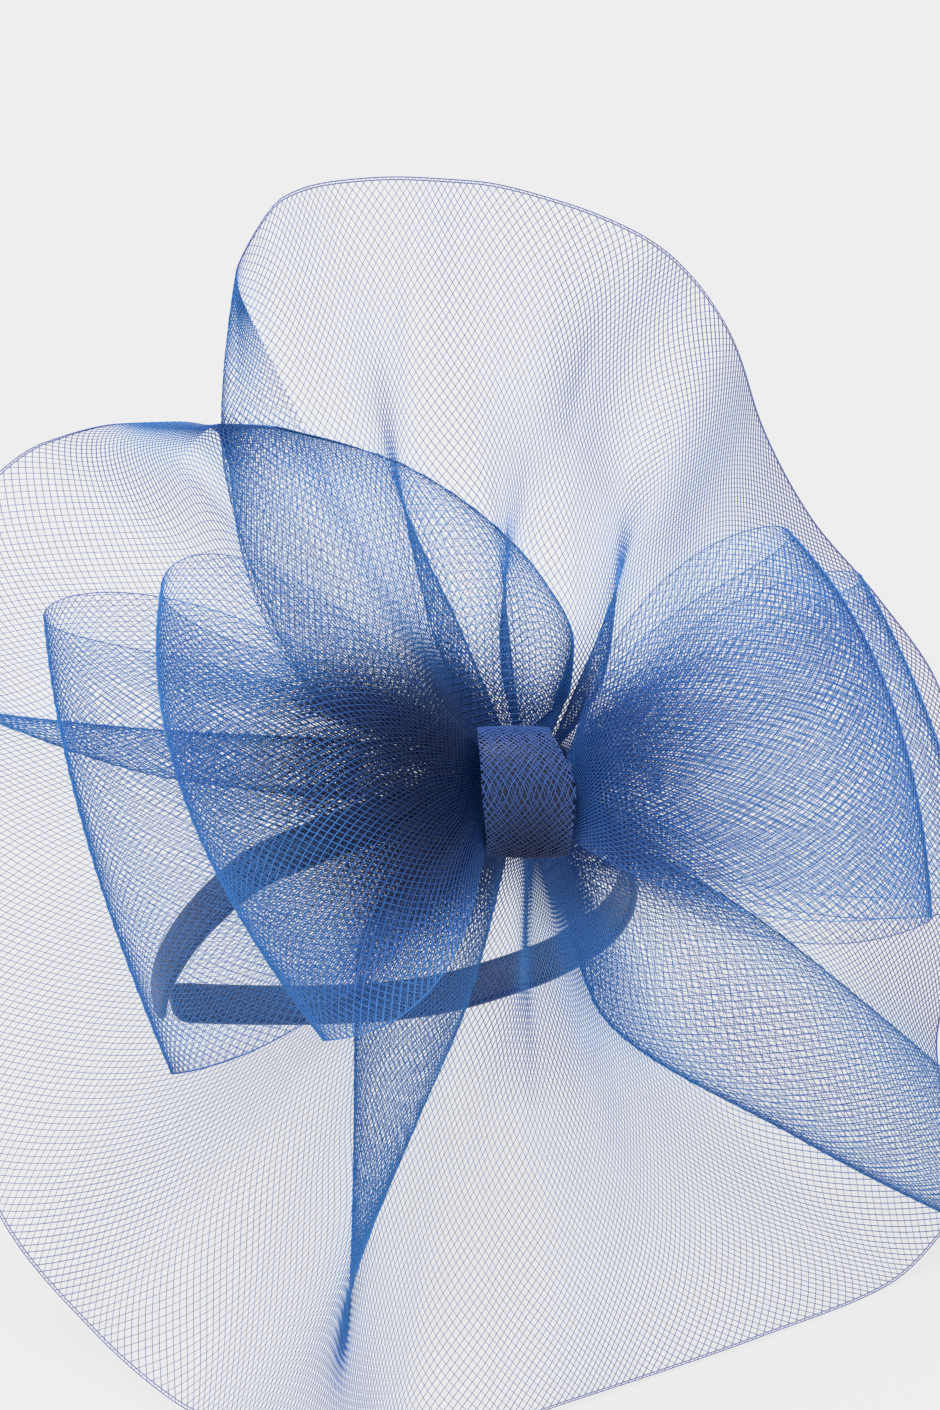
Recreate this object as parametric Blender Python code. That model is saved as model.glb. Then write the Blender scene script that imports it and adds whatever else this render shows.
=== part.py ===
"""Net fascinator on a headband: a wide gathered net saucer with pleats, a four-loop bow, a knot wrap and a satin-covered band.

Lengths in the tables are millimetres in two local frames and become metres in the world frame:
- the saucer frame has its origin in the middle of the gathered hub, x to the wearer's right, y up the disc and z out of its face;
  it leans back from level by SAUCER_TILT_DEG;
- the band frame lies in the plane of the headband's curve, p towards the closed end and q from the lower arm to the upper arm.
The world origin is under the middle of the whole object, on the surface that it rests on.
"""
import math

import bpy
import numpy as np

# ---------------------------------------------------------------- driving dimensions (mm, degrees)
SAUCER_TILT_DEG = 35.0      # the disc leans back this far from level
HUB_X, HUB_Y, HUB_Z = 18.435, -10.498, 144.412   # middle of the gathered hub in the world
HUB_RADIUS = 7.0            # radius of the gathered inner edge
HUB_TOP, HUB_BOTTOM = -3.5, -15.5       # the gathered edge winds down from the first end to the second
NET_WALL = 1.0              # thickness that stands for the net
LOOP_WALL = 1.0             # thickness that stands for the net of a bow loop
NET_STEP = 19.0             # longest step along the net's outer edge
WIDTH_STATIONS = (0.0, 0.08, 0.18, 0.30, 0.42, 0.54, 0.66, 0.77, 0.86, 0.94, 1.0)

BAND_WIDTH = 12.0
BAND_THICK = 2.2
BAND_YAW_DEG = 15.0         # the band's plane turns this far about the upright
BAND_LEAN_DEG = 7.6         # and its upper arm leans this far to the front
BAND_AT = (-34.7, 22.6, -140.11)        # p = q = 0 of the band frame, from the hub, in the world
BAND_TIP_ROUND = 5.0        # rounding of the two ends

WRAP_WALL = 1.0
WRAP_HALF_HEIGHT = 15.6     # of the knot wrap, along y
WRAP_HALF_DEPTH = 7.8       # along z
WRAP_MIDDLE = (-0.2, 10.2)   # y, z of its middle
WRAP_SQUARE = 2.8           # exponent of its rounded section
WAIST_HALF = (12.3, 5.0)    # gathered middle of the bow inside the wrap, along y and z
WAIST_ENDS = (-9.6, 8.8)    # along x
LOOP_SLOT = 1.0             # half gap between a loop's two layers at the waist

BASE_RADIUS = 5.0           # stitched base that ties the bow and the net to the band
BASE_FOOT_RADIUS = 6.5
BASE_FOOT_X = -3.0
GAP = 0.4                   # clearance between touching pieces

# One row for each section or fold edge of the gathered net, in order along its outer edge.
# along: distance along the outer edge; hub: azimuth at the gathered edge; then azimuth, radius and height
# at one third, two thirds and the whole of the net's width.
NET_COLUMNS = ("name", "along", "hub", "az1", "r1", "h1", "az2", "r2", "h2", "az3", "r3", "h3")
NET_ROWS = (
    ("end_a", 0, 68, 70, 11.1, -3, 110, 13, -3, 140, 10.5, -4.5),
    ("end_b", 12, 71, 69.6, 17.3, -2, 68.3, 26.9, 2, 150, 11, -5),
    ("arch_1", 20, 75, 73.9, 23.4, 0, 73.4, 37.7, 8, 155.2, 16.5, -5),
    ("arch_2", 34, 89, 89.1, 27.5, 3, 87, 52.8, 15, 160.1, 30.7, -5),
    ("arch_3", 52, 104, 104.3, 33.5, 4, 102.1, 71.6, 19, 159.4, 48.2, -5),
    ("arch_4", 72, 118, 118.2, 39.6, 5, 113.4, 89.1, 20, 153.1, 67.5, -4),
    ("arch_5", 108, 127, 127.2, 45.4, 5, 122.8, 104.6, 20, 138.9, 96.8, 2),
    ("arch_6", 128, 131, 131, 46.2, 4.5, 126.3, 111.5, 19, 132.6, 111, 6),
    ("arch_7", 142, 135, 134.5, 46.6, 4, 130.1, 118, 17, 131.1, 118.6, 9),
    ("left_0", 158, 139, 139, 45.8, 3, 133.5, 120, 14, 133.7, 126.4, 9),
    ("left_1", 176, 144, 144.1, 44.7, 2, 137.5, 118.2, 11, 138.2, 136.7, 6),
    ("left_2", 201, 149, 149.3, 46.5, 0, 145.5, 101.4, 3, 144.4, 150.2, -8),
    ("left_3", 234, 154, 154.6, 46.5, -1, 157.7, 98.7, 0, 155.9, 161, -15),
    ("left_4", 263, 158, 158.2, 45.8, -1, 165.4, 99.5, -1, 165.8, 164.1, -20),
    ("D_low", 293, 172, 183.5, 40.6, 0, 178.4, 88, 0, 169.9, 165.2, -22),
    ("D_up", 323, 175, 163.3, 41.4, -7, 170.7, 91.3, -8, 172.5, 165.4, -24),
    ("left_5", 351, 187, 183.9, 40.9, -12, 180.2, 96, -13, 176.6, 165.5, -27),
    ("left_6", 391, 199, 199.4, 42.7, -12, 193.9, 96.5, -15, 190.2, 164, -31),
    ("left_7", 434, 209, 209.6, 44, -11, 207.3, 100.6, -18, 204.9, 167.9, -36),
    ("left_8", 478, 216, 219.3, 46.1, -9, 220.3, 107.4, -22, 219.1, 177, -41),
    ("low_1", 522, 222, 229.4, 49.4, -8, 231, 109.4, -25, 232.1, 184.6, -57.9),
    ("low_2", 554, 228, 238.5, 50.4, -7, 240.6, 106.1, -22, 241.9, 187.5, -55.7),
    ("E_right", 601, 238, 254.1, 51.1, -5, 251.5, 88.8, -16, 248.8, 185.3, -52),
    ("E_left", 657, 241, 224, 60.7, -15, 244.9, 106, -31, 255.2, 184.4, -50.7),
    ("low_3", 703, 256, 251.1, 50.3, -20, 256.3, 107.3, -35, 259.2, 179, -51.2),
    ("F_right", 727, 267, 266.5, 43, -16, 264.5, 105.7, -35, 266.7, 170.2, -54.8),
    ("F_left", 747, 272, 270.5, 43, -18, 272.5, 105.7, -36, 273.1, 164.2, -58.5),
    ("low_4", 775, 280, 280.9, 49.4, -15, 281, 103.2, -34, 280.8, 160.8, -63.7),
    ("low_5", 809, 285, 288.7, 47.8, -12, 288.8, 101.8, -34, 292.9, 160.6, -70.7),
    ("low_6", 852, 292, 299.4, 46.5, -9, 300.5, 102.6, -32, 307.2, 167.3, -80.6),
    ("G_up", 918, 310, 331.6, 52.1, -5, 327.1, 108.1, -22, 324.5, 157.3, -60),
    ("G_low", 968, 313, 286.8, 56.4, -17, 307.6, 116.1, -46, 315.8, 175.4, -82.9),
    ("right_1", 1038, 332, 325.6, 53.4, -28, 328.3, 100.7, -60, 327.5, 133.3, -92),
    ("right_2", 1071, 339, 337.5, 48.1, -24, 342.1, 89.9, -58, 341.3, 127.1, -101),
    ("right_3", 1107, 353, 352.7, 43.5, -20, 357.5, 85.2, -54, 357.6, 122.2, -106),
    ("right_4", 1138, 370, 10.1, 41.5, -16, 14.2, 81.5, -50, 12.4, 118, -108),
    ("right_5", 1168, 383, 23, 41.5, -13, 27, 78.6, -47, 27.1, 110.5, -106),
    ("right_6", 1198, 394, 34.3, 39.9, -10, 41.7, 77, -43, 42.5, 107.2, -100),
    ("right_7", 1230, 405, 44.7, 39.2, -8, 55.4, 80.9, -37, 56, 115.6, -84),
    ("C_left", 1270, 421, 65.9, 37, -3, 66.5, 85, -28, 65.2, 130.8, -64),
    ("C_right", 1290, 424, 59.9, 40.6, -10, 74, 85.8, -31, 71.5, 139.7, -50),
    ("top_1", 1317, 431, 71.1, 35.9, -15, 82, 88.7, -28, 77.4, 145.4, -38),
    ("top_2", 1342, 452, 101, 39, -12, 89, 90.5, -24, 86.4, 150.1, -24),
    ("top_3", 1367, 463, 97.4, 40, -17, 97, 93, -20, 95.1, 154.4, -12),
    ("A_left", 1392, 476, 121.8, 46.6, -6, 109, 98.4, -12, 101.4, 157.1, -5.7),
    ("A_right", 1414, 479, 113.2, 43.2, -13, 113.4, 101.1, -15, 108, 160.2, -1.7),
    ("top_4", 1436, 487, 132.9, 48.1, -15, 121.8, 105.6, -12, 112.6, 160.6, 0),
    ("F2", 1460, 502, 158.2, 55.2, -8, 131.4, 117, -3, 119.3, 149.4, 2),
    ("flap", 1475, 507, 142, 57, -14, 126.5, 117, -9, 119.9, 147.5, -3),
    ("end_c", 1490, 512, 125.4, 58.8, -18, 121.4, 116.7, -14, 120.4, 145, -6),

)

# One row for each bow loop: top, middle and bottom of the folded end (x, y, z), top and bottom of the gathered waist (x, y, z),
# half the loop's depth, how far the front layer rises over the fold's middle line at its top and bottom, and how fast the loop
# spreads out of the waist.
LOOP_COLUMNS = ("name", "top", "middle", "bottom", "waist_top", "waist_bottom", "half_depth", "rise_top", "rise_bottom", "spread")
LOOP_ROWS = (
    ("bow_loop_left_outer", (-119.6, 43.0, 18.0), (-109.2, -9.2, 24.0), (-87.9, -69.0, 22.0), (-11.2, 10.4, 6.9), (-11.0, -11.8, 6.9), 9.4, 9.5, 0.5, 1.7),
    ("bow_loop_left_inner", (-88.2, 49.0, 50.0), (-82.0, -1.1, 60.0), (-49.5, -58.0, 56.0), (-12.2, 10.4, 10.9), (-11.2, -12.0, 10.9), 12.0, 14.0, 1.0, 1.9),
    ("bow_loop_right_inner", (61.3, 61.8, 46.0), (84.0, 23.6, 56.0), (94.5, -29.2, 52.0), (10.2, 11.2, 10.7), (10.2, -12.0, 10.7), 12.6, 7.5, 4.5, 2.2),
    ("bow_loop_right_outer", (81.4, 52.5, 16.0), (97.6, 17.2, 22.0), (111.2, -26.5, 20.0), (10.3, 10.4, 6.9), (10.3, -11.0, 6.9), 9.0, 6.0, 4.0, 2.0),
)
LOOP_STEPS_ROUND = 22       # steps round a loop, from the waist over the folded end and back
LOOP_STEPS_ACROSS = 6

# Left and right edge of the knot wrap at heights from its top to its bottom: share of the half height, x of the left edge, x of the right edge.
WRAP_ROWS = (
    (1.0, -13.2, 4.6),
    (0.5, -12.5, 8.6),
    (0.0, -12.0, 11.0),
    (-0.5, -11.3, 10.4),
    (-1.0, -10.6, 9.4),
)

# One row for each section of the headband's centre line, from the tip of the upper arm round the closed end to the tip of the
# lower arm: p, q and the sideways offset.
BAND_ROWS = (
    (-70.0, 55.3, 8.7),
    (-67.4, 69.1, 6.5),
    (-61.8, 80.6, 3.7),
    (-52.4, 95.1, 1.7),
    (-40.7, 106.8, 0.0),
    (-25.4, 114.4, 0.0),
    (-3.6, 120.0, 0.0),
    (10.8, 122.0, 0.0),
    (24.6, 120.2, 0.0),
    (37.8, 112.7, 0.0),
    (49.6, 97.0, 0.0),
    (59.0, 71.8, 0.0),
    (63.9, 42.1, 0.0),
    (62.0, 28.0, 0.0),
    (56.7, 16.1, 0.0),
    (46.5, 5.8, 0.0),
    (27.2, -1.2, 0.0),
    (12.0, -2.5, 0.0),
    (-2.0, 0.4, 0.0),
    (-22.9, 9.3, 0.0),
    (-44.5, 21.4, 0.0),
    (-64.6, 34.2, 0.0),
)
BAND_STEP = 8.0             # longest step along the band

COLOURS = {                 # base colour and roughness of each material
    "net": ((0.035, 0.085, 0.30), 0.35),
    "bow": ((0.030, 0.075, 0.27), 0.35),
    "wrap": ((0.012, 0.028, 0.105), 0.45),
    "waist": ((0.015, 0.035, 0.13), 0.5),
    "satin": ((0.010, 0.014, 0.055), 0.3),
    "felt": ((0.012, 0.016, 0.05), 0.85),
}

# ---------------------------------------------------------------- frames
TILT = math.radians(SAUCER_TILT_DEG)
YAW = math.radians(BAND_YAW_DEG)
LEAN = math.radians(BAND_LEAN_DEG)
ALONG = np.array([math.cos(YAW), math.sin(YAW), 0.0])
UPWARD = np.array([math.sin(YAW) * math.sin(LEAN), -math.cos(YAW) * math.sin(LEAN), math.cos(LEAN)])
SIDEWAYS = np.cross(ALONG, UPWARD)


def saucer_to_world(points):
    """Saucer frame to world, both in mm."""
    points = np.asarray(points, float)
    x, y, z = points[..., 0], points[..., 1], points[..., 2]
    return np.stack(
        [
            HUB_X + x,
            HUB_Y + math.cos(TILT) * y - math.sin(TILT) * z,
            HUB_Z + math.sin(TILT) * y + math.cos(TILT) * z,
        ],
        -1,
    )


def band_to_world(p, q, side):
    """Band frame to world, both in mm."""
    at = np.array([HUB_X, HUB_Y, HUB_Z]) + np.array(BAND_AT)
    return at + p[..., None] * ALONG + q[..., None] * UPWARD + side[..., None] * SIDEWAYS


# ---------------------------------------------------------------- smooth curves through table rows
def slopes(x, y):
    """Slopes that keep a curve through the rows free of overshoot, so that a fold edge stays where its row puts it."""
    h = np.diff(x)[:, None]
    d = np.diff(y, axis=0) / h
    m = np.zeros_like(y)
    w1, w2 = 2 * h[1:] + h[:-1], h[1:] + 2 * h[:-1]
    same = d[1:] * d[:-1] > 0
    safe = np.where(same, d[1:] * d[:-1], 1.0)
    m[1:-1] = np.where(same, (w1 + w2) * safe / np.where(same, w1 * d[1:] + w2 * d[:-1], 1.0), 0.0)
    m[0], m[-1] = d[0], d[-1]
    return m


def through(x, y, q, m=None):
    """Values at q of the smooth curve through the rows (x, y)."""
    x, y = np.asarray(x, float), np.asarray(y, float)
    m = slopes(x, y) if m is None else m
    i = np.clip(np.searchsorted(x, q, side="right") - 1, 0, len(x) - 2)
    h = (x[i + 1] - x[i])[:, None]
    s = ((q - x[i])[:, None]) / h
    return (
        (2 * s**3 - 3 * s**2 + 1) * y[i]
        + (s**3 - 2 * s**2 + s) * h * m[i]
        + (-2 * s**3 + 3 * s**2) * y[i + 1]
        + (s**3 - s**2) * h * m[i + 1]
    )


# ---------------------------------------------------------------- shapes, as grids of points
def net_stations():
    """For each row of NET_ROWS, its points at the hub, one third, two thirds and the outer edge."""
    out = np.zeros((len(NET_ROWS), 4, 3))
    for i, row in enumerate(NET_ROWS):
        name, along, hub = row[:3]
        a = math.radians(hub)
        down = HUB_TOP + (HUB_BOTTOM - HUB_TOP) * i / (len(NET_ROWS) - 1)
        out[i, 0] = (HUB_RADIUS * math.cos(a), HUB_RADIUS * math.sin(a), down)
        for k in range(3):
            az, r, h = row[3 + 3 * k : 6 + 3 * k]
            a = math.radians(az)
            out[i, k + 1] = (r * math.cos(a), r * math.sin(a), h)
    return out


def net_points(along, across):
    """Points of the net's middle surface: along is mm along the outer edge, across runs 0 at the hub to 1 at the outer edge."""
    stations = net_stations()
    x = np.array([row[1] for row in NET_ROWS], float)
    c = through(x, stations.reshape(len(x), 12), along).reshape(-1, 4, 3)
    n = len(along)
    y = c.transpose(1, 0, 2).reshape(4, n * 3)
    v = np.array([0, 1 / 3, 2 / 3, 1.0])
    m = slopes(v, y)
    m[0] = (y[1] - y[0]) * 4.5 - m[1] * 0.5
    m[3] = (y[3] - y[2]) * 4.5 - m[2] * 0.5
    y, m = y.reshape(4, n, 3), m.reshape(4, n, 3)
    i = np.clip((across * 3).astype(int), 0, 2)
    k = np.arange(n)
    s = (across * 3 - i)[:, None]
    h = 1 / 3
    return (
        (2 * s**3 - 3 * s**2 + 1) * y[i, k]
        + (s**3 - 2 * s**2 + s) * h * m[i, k]
        + (-2 * s**3 + 3 * s**2) * y[i + 1, k]
        + (s**3 - s**2) * h * m[i + 1, k]
    )


def net_grid():
    x = [row[1] for row in NET_ROWS]
    along = [x[0]]
    for a, b in zip(x[:-1], x[1:]):
        n = max(2, math.ceil((b - a) / NET_STEP))
        along += [a + (b - a) * k / n for k in range(1, n + 1)]
    u, v = np.meshgrid(along, WIDTH_STATIONS, indexing="ij")
    return net_points(u.ravel(), v.ravel()).reshape(len(along), len(WIDTH_STATIONS), 3)


def loop_points(row, t, w):
    """Points of a bow loop's middle surface: t runs 0 to 1 from the waist over the folded end and back, w from top to bottom."""
    top, middle, bottom, waist_top, waist_bottom = (np.array(v, float) for v in row[1:6])
    half_depth, rise_top, rise_bottom, spread = row[6:10]
    t, w = t[:, None], w[:, None]
    tau = 2 * math.pi * t
    out = (1 - np.cos(tau)) / 2
    fold = top * (1 - w) * (1 - 2 * w) + middle * 4 * w * (1 - w) + bottom * w * (2 * w - 1)
    waist = waist_top * (1 - w) + waist_bottom * w
    waist_middle = (waist_top + waist_bottom) / 2
    share = 1 - (1 - out) ** spread
    p = waist_middle + (middle - waist_middle) * out + (waist - waist_middle) * (1 - share) + (fold - middle) * share
    mouth = np.sin(tau) * np.abs(np.sin(tau / 2)) ** 1.2
    rise = mouth * (rise_top * (1 - w) + rise_bottom * w)
    depth = mouth * half_depth + np.cos(tau / 2) * LOOP_SLOT
    return p + np.concatenate([0 * rise, rise, depth], axis=1)


def loop_grid(row):
    t = np.linspace(0, 1, LOOP_STEPS_ROUND + 1)
    t = t - 0.35 * np.sin(4 * math.pi * t) / (4 * math.pi)
    w = np.linspace(0, 1, LOOP_STEPS_ACROSS + 1)
    tt, ww = np.meshgrid(t, w, indexing="ij")
    return loop_points(row, tt.ravel(), ww.ravel()).reshape(len(t), len(w), 3)


def band_line():
    """Centre line of the headband in the world: points, tangents and distance along it."""
    rows = np.array(BAND_ROWS, float)
    chord = np.concatenate([[0], np.cumsum(np.linalg.norm(np.diff(rows, axis=0), axis=1))])
    m = np.gradient(rows, chord, axis=0)
    n = math.ceil(chord[-1] / BAND_STEP)
    q = np.linspace(0, chord[-1], n + 1)
    pts = through(chord, rows, q, m)
    world = band_to_world(pts[:, 0], pts[:, 1], pts[:, 2])
    tangent = np.gradient(world, q, axis=0)
    tangent /= np.linalg.norm(tangent, axis=1)[:, None]
    return world, tangent, q


# ---------------------------------------------------------------- solids
def grid_normals(grid):
    du, dv = np.gradient(grid, axis=0), np.gradient(grid, axis=1)
    n = np.cross(du, dv)
    return n / np.maximum(np.linalg.norm(n, axis=-1, keepdims=True), 1e-9)


def wall_mesh(grid, thick):
    """A closed wall of even thickness on both sides of a grid of points."""
    n = grid_normals(grid)
    ni, nj = grid.shape[:2]
    points = np.concatenate([(grid + n * thick / 2).reshape(-1, 3), (grid - n * thick / 2).reshape(-1, 3)])
    at = lambda side, i, j: side * ni * nj + i * nj + j
    faces = []
    for i in range(ni - 1):
        for j in range(nj - 1):
            faces.append((at(0, i, j), at(0, i + 1, j), at(0, i + 1, j + 1), at(0, i, j + 1)))
            faces.append((at(1, i, j), at(1, i, j + 1), at(1, i + 1, j + 1), at(1, i + 1, j)))
    for i in range(ni - 1):
        faces.append((at(0, i, 0), at(1, i, 0), at(1, i + 1, 0), at(0, i + 1, 0)))
        faces.append((at(0, i, nj - 1), at(0, i + 1, nj - 1), at(1, i + 1, nj - 1), at(1, i, nj - 1)))
    for j in range(nj - 1):
        faces.append((at(0, 0, j), at(0, 0, j + 1), at(1, 0, j + 1), at(1, 0, j)))
        faces.append((at(0, ni - 1, j), at(1, ni - 1, j), at(1, ni - 1, j + 1), at(0, ni - 1, j + 1)))
    return points, faces


def ring_mesh(rings, capped=True):
    """A solid through rings of points; a ring list that closes on itself has no caps."""
    count = len(rings[0])
    points = np.concatenate(rings)
    faces = []
    n = len(rings)
    for i in range(n - 1 if capped else n):
        a, b = i * count, ((i + 1) % n) * count
        for k in range(count):
            k2 = (k + 1) % count
            faces.append((a + k, a + k2, b + k2, b + k))
    if capped:
        faces.append(tuple(range(count))[::-1])
        faces.append(tuple((n - 1) * count + k for k in range(count)))
    return points, faces


def band_mesh():
    line, tangent, along = band_line()
    out = np.cross(tangent, SIDEWAYS)
    out /= np.linalg.norm(out, axis=1)[:, None]
    rings = []
    total = along[-1]
    for p, o, s in zip(line, out, along):
        end = min(s, total - s)
        k = min(1.0, end / BAND_TIP_ROUND)
        half = (BAND_WIDTH / 2) * (0.55 + 0.45 * math.sqrt(1 - (1 - k) ** 2))
        thick = BAND_THICK / 2
        section = [
            (-half, -thick * 0.35), (-half, thick * 0.35), (-half * 0.86, thick), (0.0, thick * 1.08), (half * 0.86, thick),
            (half, thick * 0.35), (half, -thick * 0.35), (half * 0.86, -thick), (0.0, -thick * 1.08), (-half * 0.86, -thick),
        ]
        rings.append(np.array([p + SIDEWAYS * a + o * b for a, b in section]))
    return ring_mesh(rings)


def rounded_section(count, half_y, half_z, power):
    a = np.linspace(0, 2 * math.pi, count, endpoint=False) + math.pi / count
    c, s = np.cos(a), np.sin(a)
    return np.stack([half_y * np.sign(c) * np.abs(c) ** (2 / power), half_z * np.sign(s) * np.abs(s) ** (2 / power)], -1)


def wrap_mesh():
    """Knot wrap: a closed band of net round the waist, with barrel-shaped edges."""
    count = 32
    rows = np.array(WRAP_ROWS)[::-1]
    outer = rounded_section(count, WRAP_HALF_HEIGHT, WRAP_HALF_DEPTH, WRAP_SQUARE)
    inner = rounded_section(count, WRAP_HALF_HEIGHT - WRAP_WALL, WRAP_HALF_DEPTH - WRAP_WALL, WRAP_SQUARE)
    rings = []
    for k in range(count):
        share = outer[k, 0] / WRAP_HALF_HEIGHT
        left, right = through(rows[:, 0], rows[:, 1:], np.array([share]))[0]
        ring = []
        steps = 4
        for j in range(steps + 1):
            x = left + (right - left) * j / steps
            swell = 0.5 * math.sin(math.pi * j / steps)
            ring.append((x, outer[k, 0] * (1 + swell / 16) + WRAP_MIDDLE[0], outer[k, 1] * (1 + swell / 7) + WRAP_MIDDLE[1]))
        for j in range(steps, -1, -1):
            x = left + (right - left) * j / steps
            ring.append((x, inner[k, 0] + WRAP_MIDDLE[0], inner[k, 1] + WRAP_MIDDLE[1]))
        rings.append(saucer_to_world(np.array(ring)))
    return ring_mesh(rings, capped=False)


def waist_mesh():
    """Gathered middle of the bow, inside the wrap."""
    section = rounded_section(24, *WAIST_HALF, 2.4)
    rings = []
    for x, swell in ((WAIST_ENDS[0], 0.86), (WAIST_ENDS[0] + 1.5, 1.0), (WAIST_ENDS[1] - 1.5, 1.0), (WAIST_ENDS[1], 0.86)):
        ring = [(x, y * swell + WRAP_MIDDLE[0], z * swell + WRAP_MIDDLE[1]) for y, z in section]
        rings.append(saucer_to_world(np.array(ring)))
    return ring_mesh(rings)


def base_mesh():
    """Stitched base: a post through the gathered hub whose foot lies along the band's outer face."""
    line, tangent, along = band_line()
    hub = saucer_to_world(np.array([BASE_FOOT_X - 4.0, 0.0, 0.0]))
    face = saucer_to_world(np.array([0.0, 0.0, 1.0])) - saucer_to_world(np.zeros(3))
    away = line - hub
    away = away - (away @ face)[:, None] * face
    k = int(np.argmin(np.linalg.norm(away, axis=1) + 1000 * ((line - hub) @ face < -60)))
    out = np.cross(tangent[k], SIDEWAYS)
    out /= np.linalg.norm(out)
    if out @ face < 0:
        out = -out
    foot = line[k] + out * (BAND_THICK * 0.54 + GAP)
    count = 28
    turn = np.linspace(0, 2 * math.pi, count, endpoint=False)
    rings = []
    top = WRAP_MIDDLE[1] - WRAP_HALF_DEPTH * (1 + 0.5 / 7) - GAP
    for z in (top, HUB_BOTTOM - 0.5):
        rings.append(saucer_to_world(np.stack([BASE_RADIUS * np.cos(turn), BASE_RADIUS * np.sin(turn), np.full(count, z)], -1)))
    bottom = saucer_to_world(
        np.stack([BASE_FOOT_X + BASE_FOOT_RADIUS * np.cos(turn), BASE_FOOT_RADIUS * 0.8 * np.sin(turn), np.full(count, HUB_BOTTOM)], -1)
    )
    drop = ((bottom - foot) @ out) / (face @ out)
    rings.append(bottom - drop[:, None] * face)
    return ring_mesh(rings)


# ---------------------------------------------------------------- objects
def material(name):
    colour, rough = COLOURS[name]
    m = bpy.data.materials.new(name)
    m.use_nodes = True
    shader = m.node_tree.nodes["Principled BSDF"]
    shader.inputs["Base Color"].default_value = (*colour, 1.0)
    shader.inputs["Roughness"].default_value = rough
    m.diffuse_color = (*colour, 1.0)
    return m


def add(name, mesh_data, slot):
    points, faces = mesh_data
    mesh = bpy.data.meshes.new(name)
    mesh.from_pydata([tuple(p) for p in np.asarray(points) / 1000.0], [], faces)
    mesh.validate()
    volume = 0.0
    mesh.calc_loop_triangles()
    co = np.empty(len(mesh.vertices) * 3)
    mesh.vertices.foreach_get("co", co)
    tri = np.empty(len(mesh.loop_triangles) * 3, np.int32)
    mesh.loop_triangles.foreach_get("vertices", tri)
    volume = np.linalg.det(co.reshape(-1, 3)[tri.reshape(-1, 3)]).sum()
    if volume < 0:
        mesh.flip_normals()
    mesh.materials.append(material(slot))
    obj = bpy.data.objects.new(name, mesh)
    bpy.context.scene.collection.objects.link(obj)
    return obj


for old in list(bpy.data.objects):
    bpy.data.objects.remove(old, do_unlink=True)

add("net_saucer", wall_mesh(saucer_to_world(net_grid()), NET_WALL), "net")
for loop_row in LOOP_ROWS:
    add(loop_row[0], wall_mesh(saucer_to_world(loop_grid(loop_row)), LOOP_WALL), "bow")
add("knot_wrap", wrap_mesh(), "wrap")
add("bow_waist", waist_mesh(), "waist")
add("stitched_base", base_mesh(), "felt")
add("headband", band_mesh(), "satin")
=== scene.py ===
"""Net fascinator on a headband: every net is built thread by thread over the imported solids.

Lengths in the tables are millimetres in two local frames and become metres in the world frame, as in the part's own source:
- the saucer frame has its origin in the middle of the gathered hub, x to the right, y up the disc and z out of its face;
- the band frame lies in the plane of the headband's curve.
"""
import math

import bpy
import numpy as np
from mathutils import Matrix


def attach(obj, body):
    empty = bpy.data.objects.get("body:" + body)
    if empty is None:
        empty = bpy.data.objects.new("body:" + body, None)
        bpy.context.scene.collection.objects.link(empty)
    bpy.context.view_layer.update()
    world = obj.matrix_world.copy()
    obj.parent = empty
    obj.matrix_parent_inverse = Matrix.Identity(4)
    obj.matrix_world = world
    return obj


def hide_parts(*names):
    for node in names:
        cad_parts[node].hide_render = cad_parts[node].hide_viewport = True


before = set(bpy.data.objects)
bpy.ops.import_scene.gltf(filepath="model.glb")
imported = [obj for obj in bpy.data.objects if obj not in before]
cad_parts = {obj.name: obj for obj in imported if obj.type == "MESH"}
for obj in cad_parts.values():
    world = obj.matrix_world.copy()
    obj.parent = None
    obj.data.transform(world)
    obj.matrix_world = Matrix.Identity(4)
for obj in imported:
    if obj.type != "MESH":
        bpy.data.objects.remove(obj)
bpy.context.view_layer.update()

# ---------------------------------------------------------------- sizes (mm, degrees), as in the part's own source
SAUCER_TILT_DEG = 35.0
HUB_X, HUB_Y, HUB_Z = 18.435, -10.498, 144.412
HUB_RADIUS = 7.0
HUB_TOP, HUB_BOTTOM = -3.5, -15.5
LOOP_SLOT = 1.0

BAND_WIDTH = 12.0
BAND_THICK = 2.2
BAND_YAW_DEG = 15.0
BAND_LEAN_DEG = 7.6
BAND_AT = (-34.7, 22.6, -140.11)
BAND_TIP_ROUND = 5.0

WRAP_WALL = 1.0
WRAP_HALF_HEIGHT = 15.6
WRAP_HALF_DEPTH = 7.8
WRAP_MIDDLE = (-0.2, 10.2)
WRAP_SQUARE = 2.8

# ---------------------------------------------------------------- sizes of the finish (mm)
NET_WIDTH = 133.0           # width of the flat net strip, before the drawn-up edge stretched it
NET_PITCH = 2.3             # spacing of the slanting threads along the strip's edge
THREAD_HALF = (0.080, 0.155)    # half width of a thread across the net and through it
THREAD_WIDER = ((1.0, 3.0, 5.0, 8.0, 12.0), (0.71, 0.78, 1.06, 1.45, 2.00))   # layers of net, and how much wider the threads lie there
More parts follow.
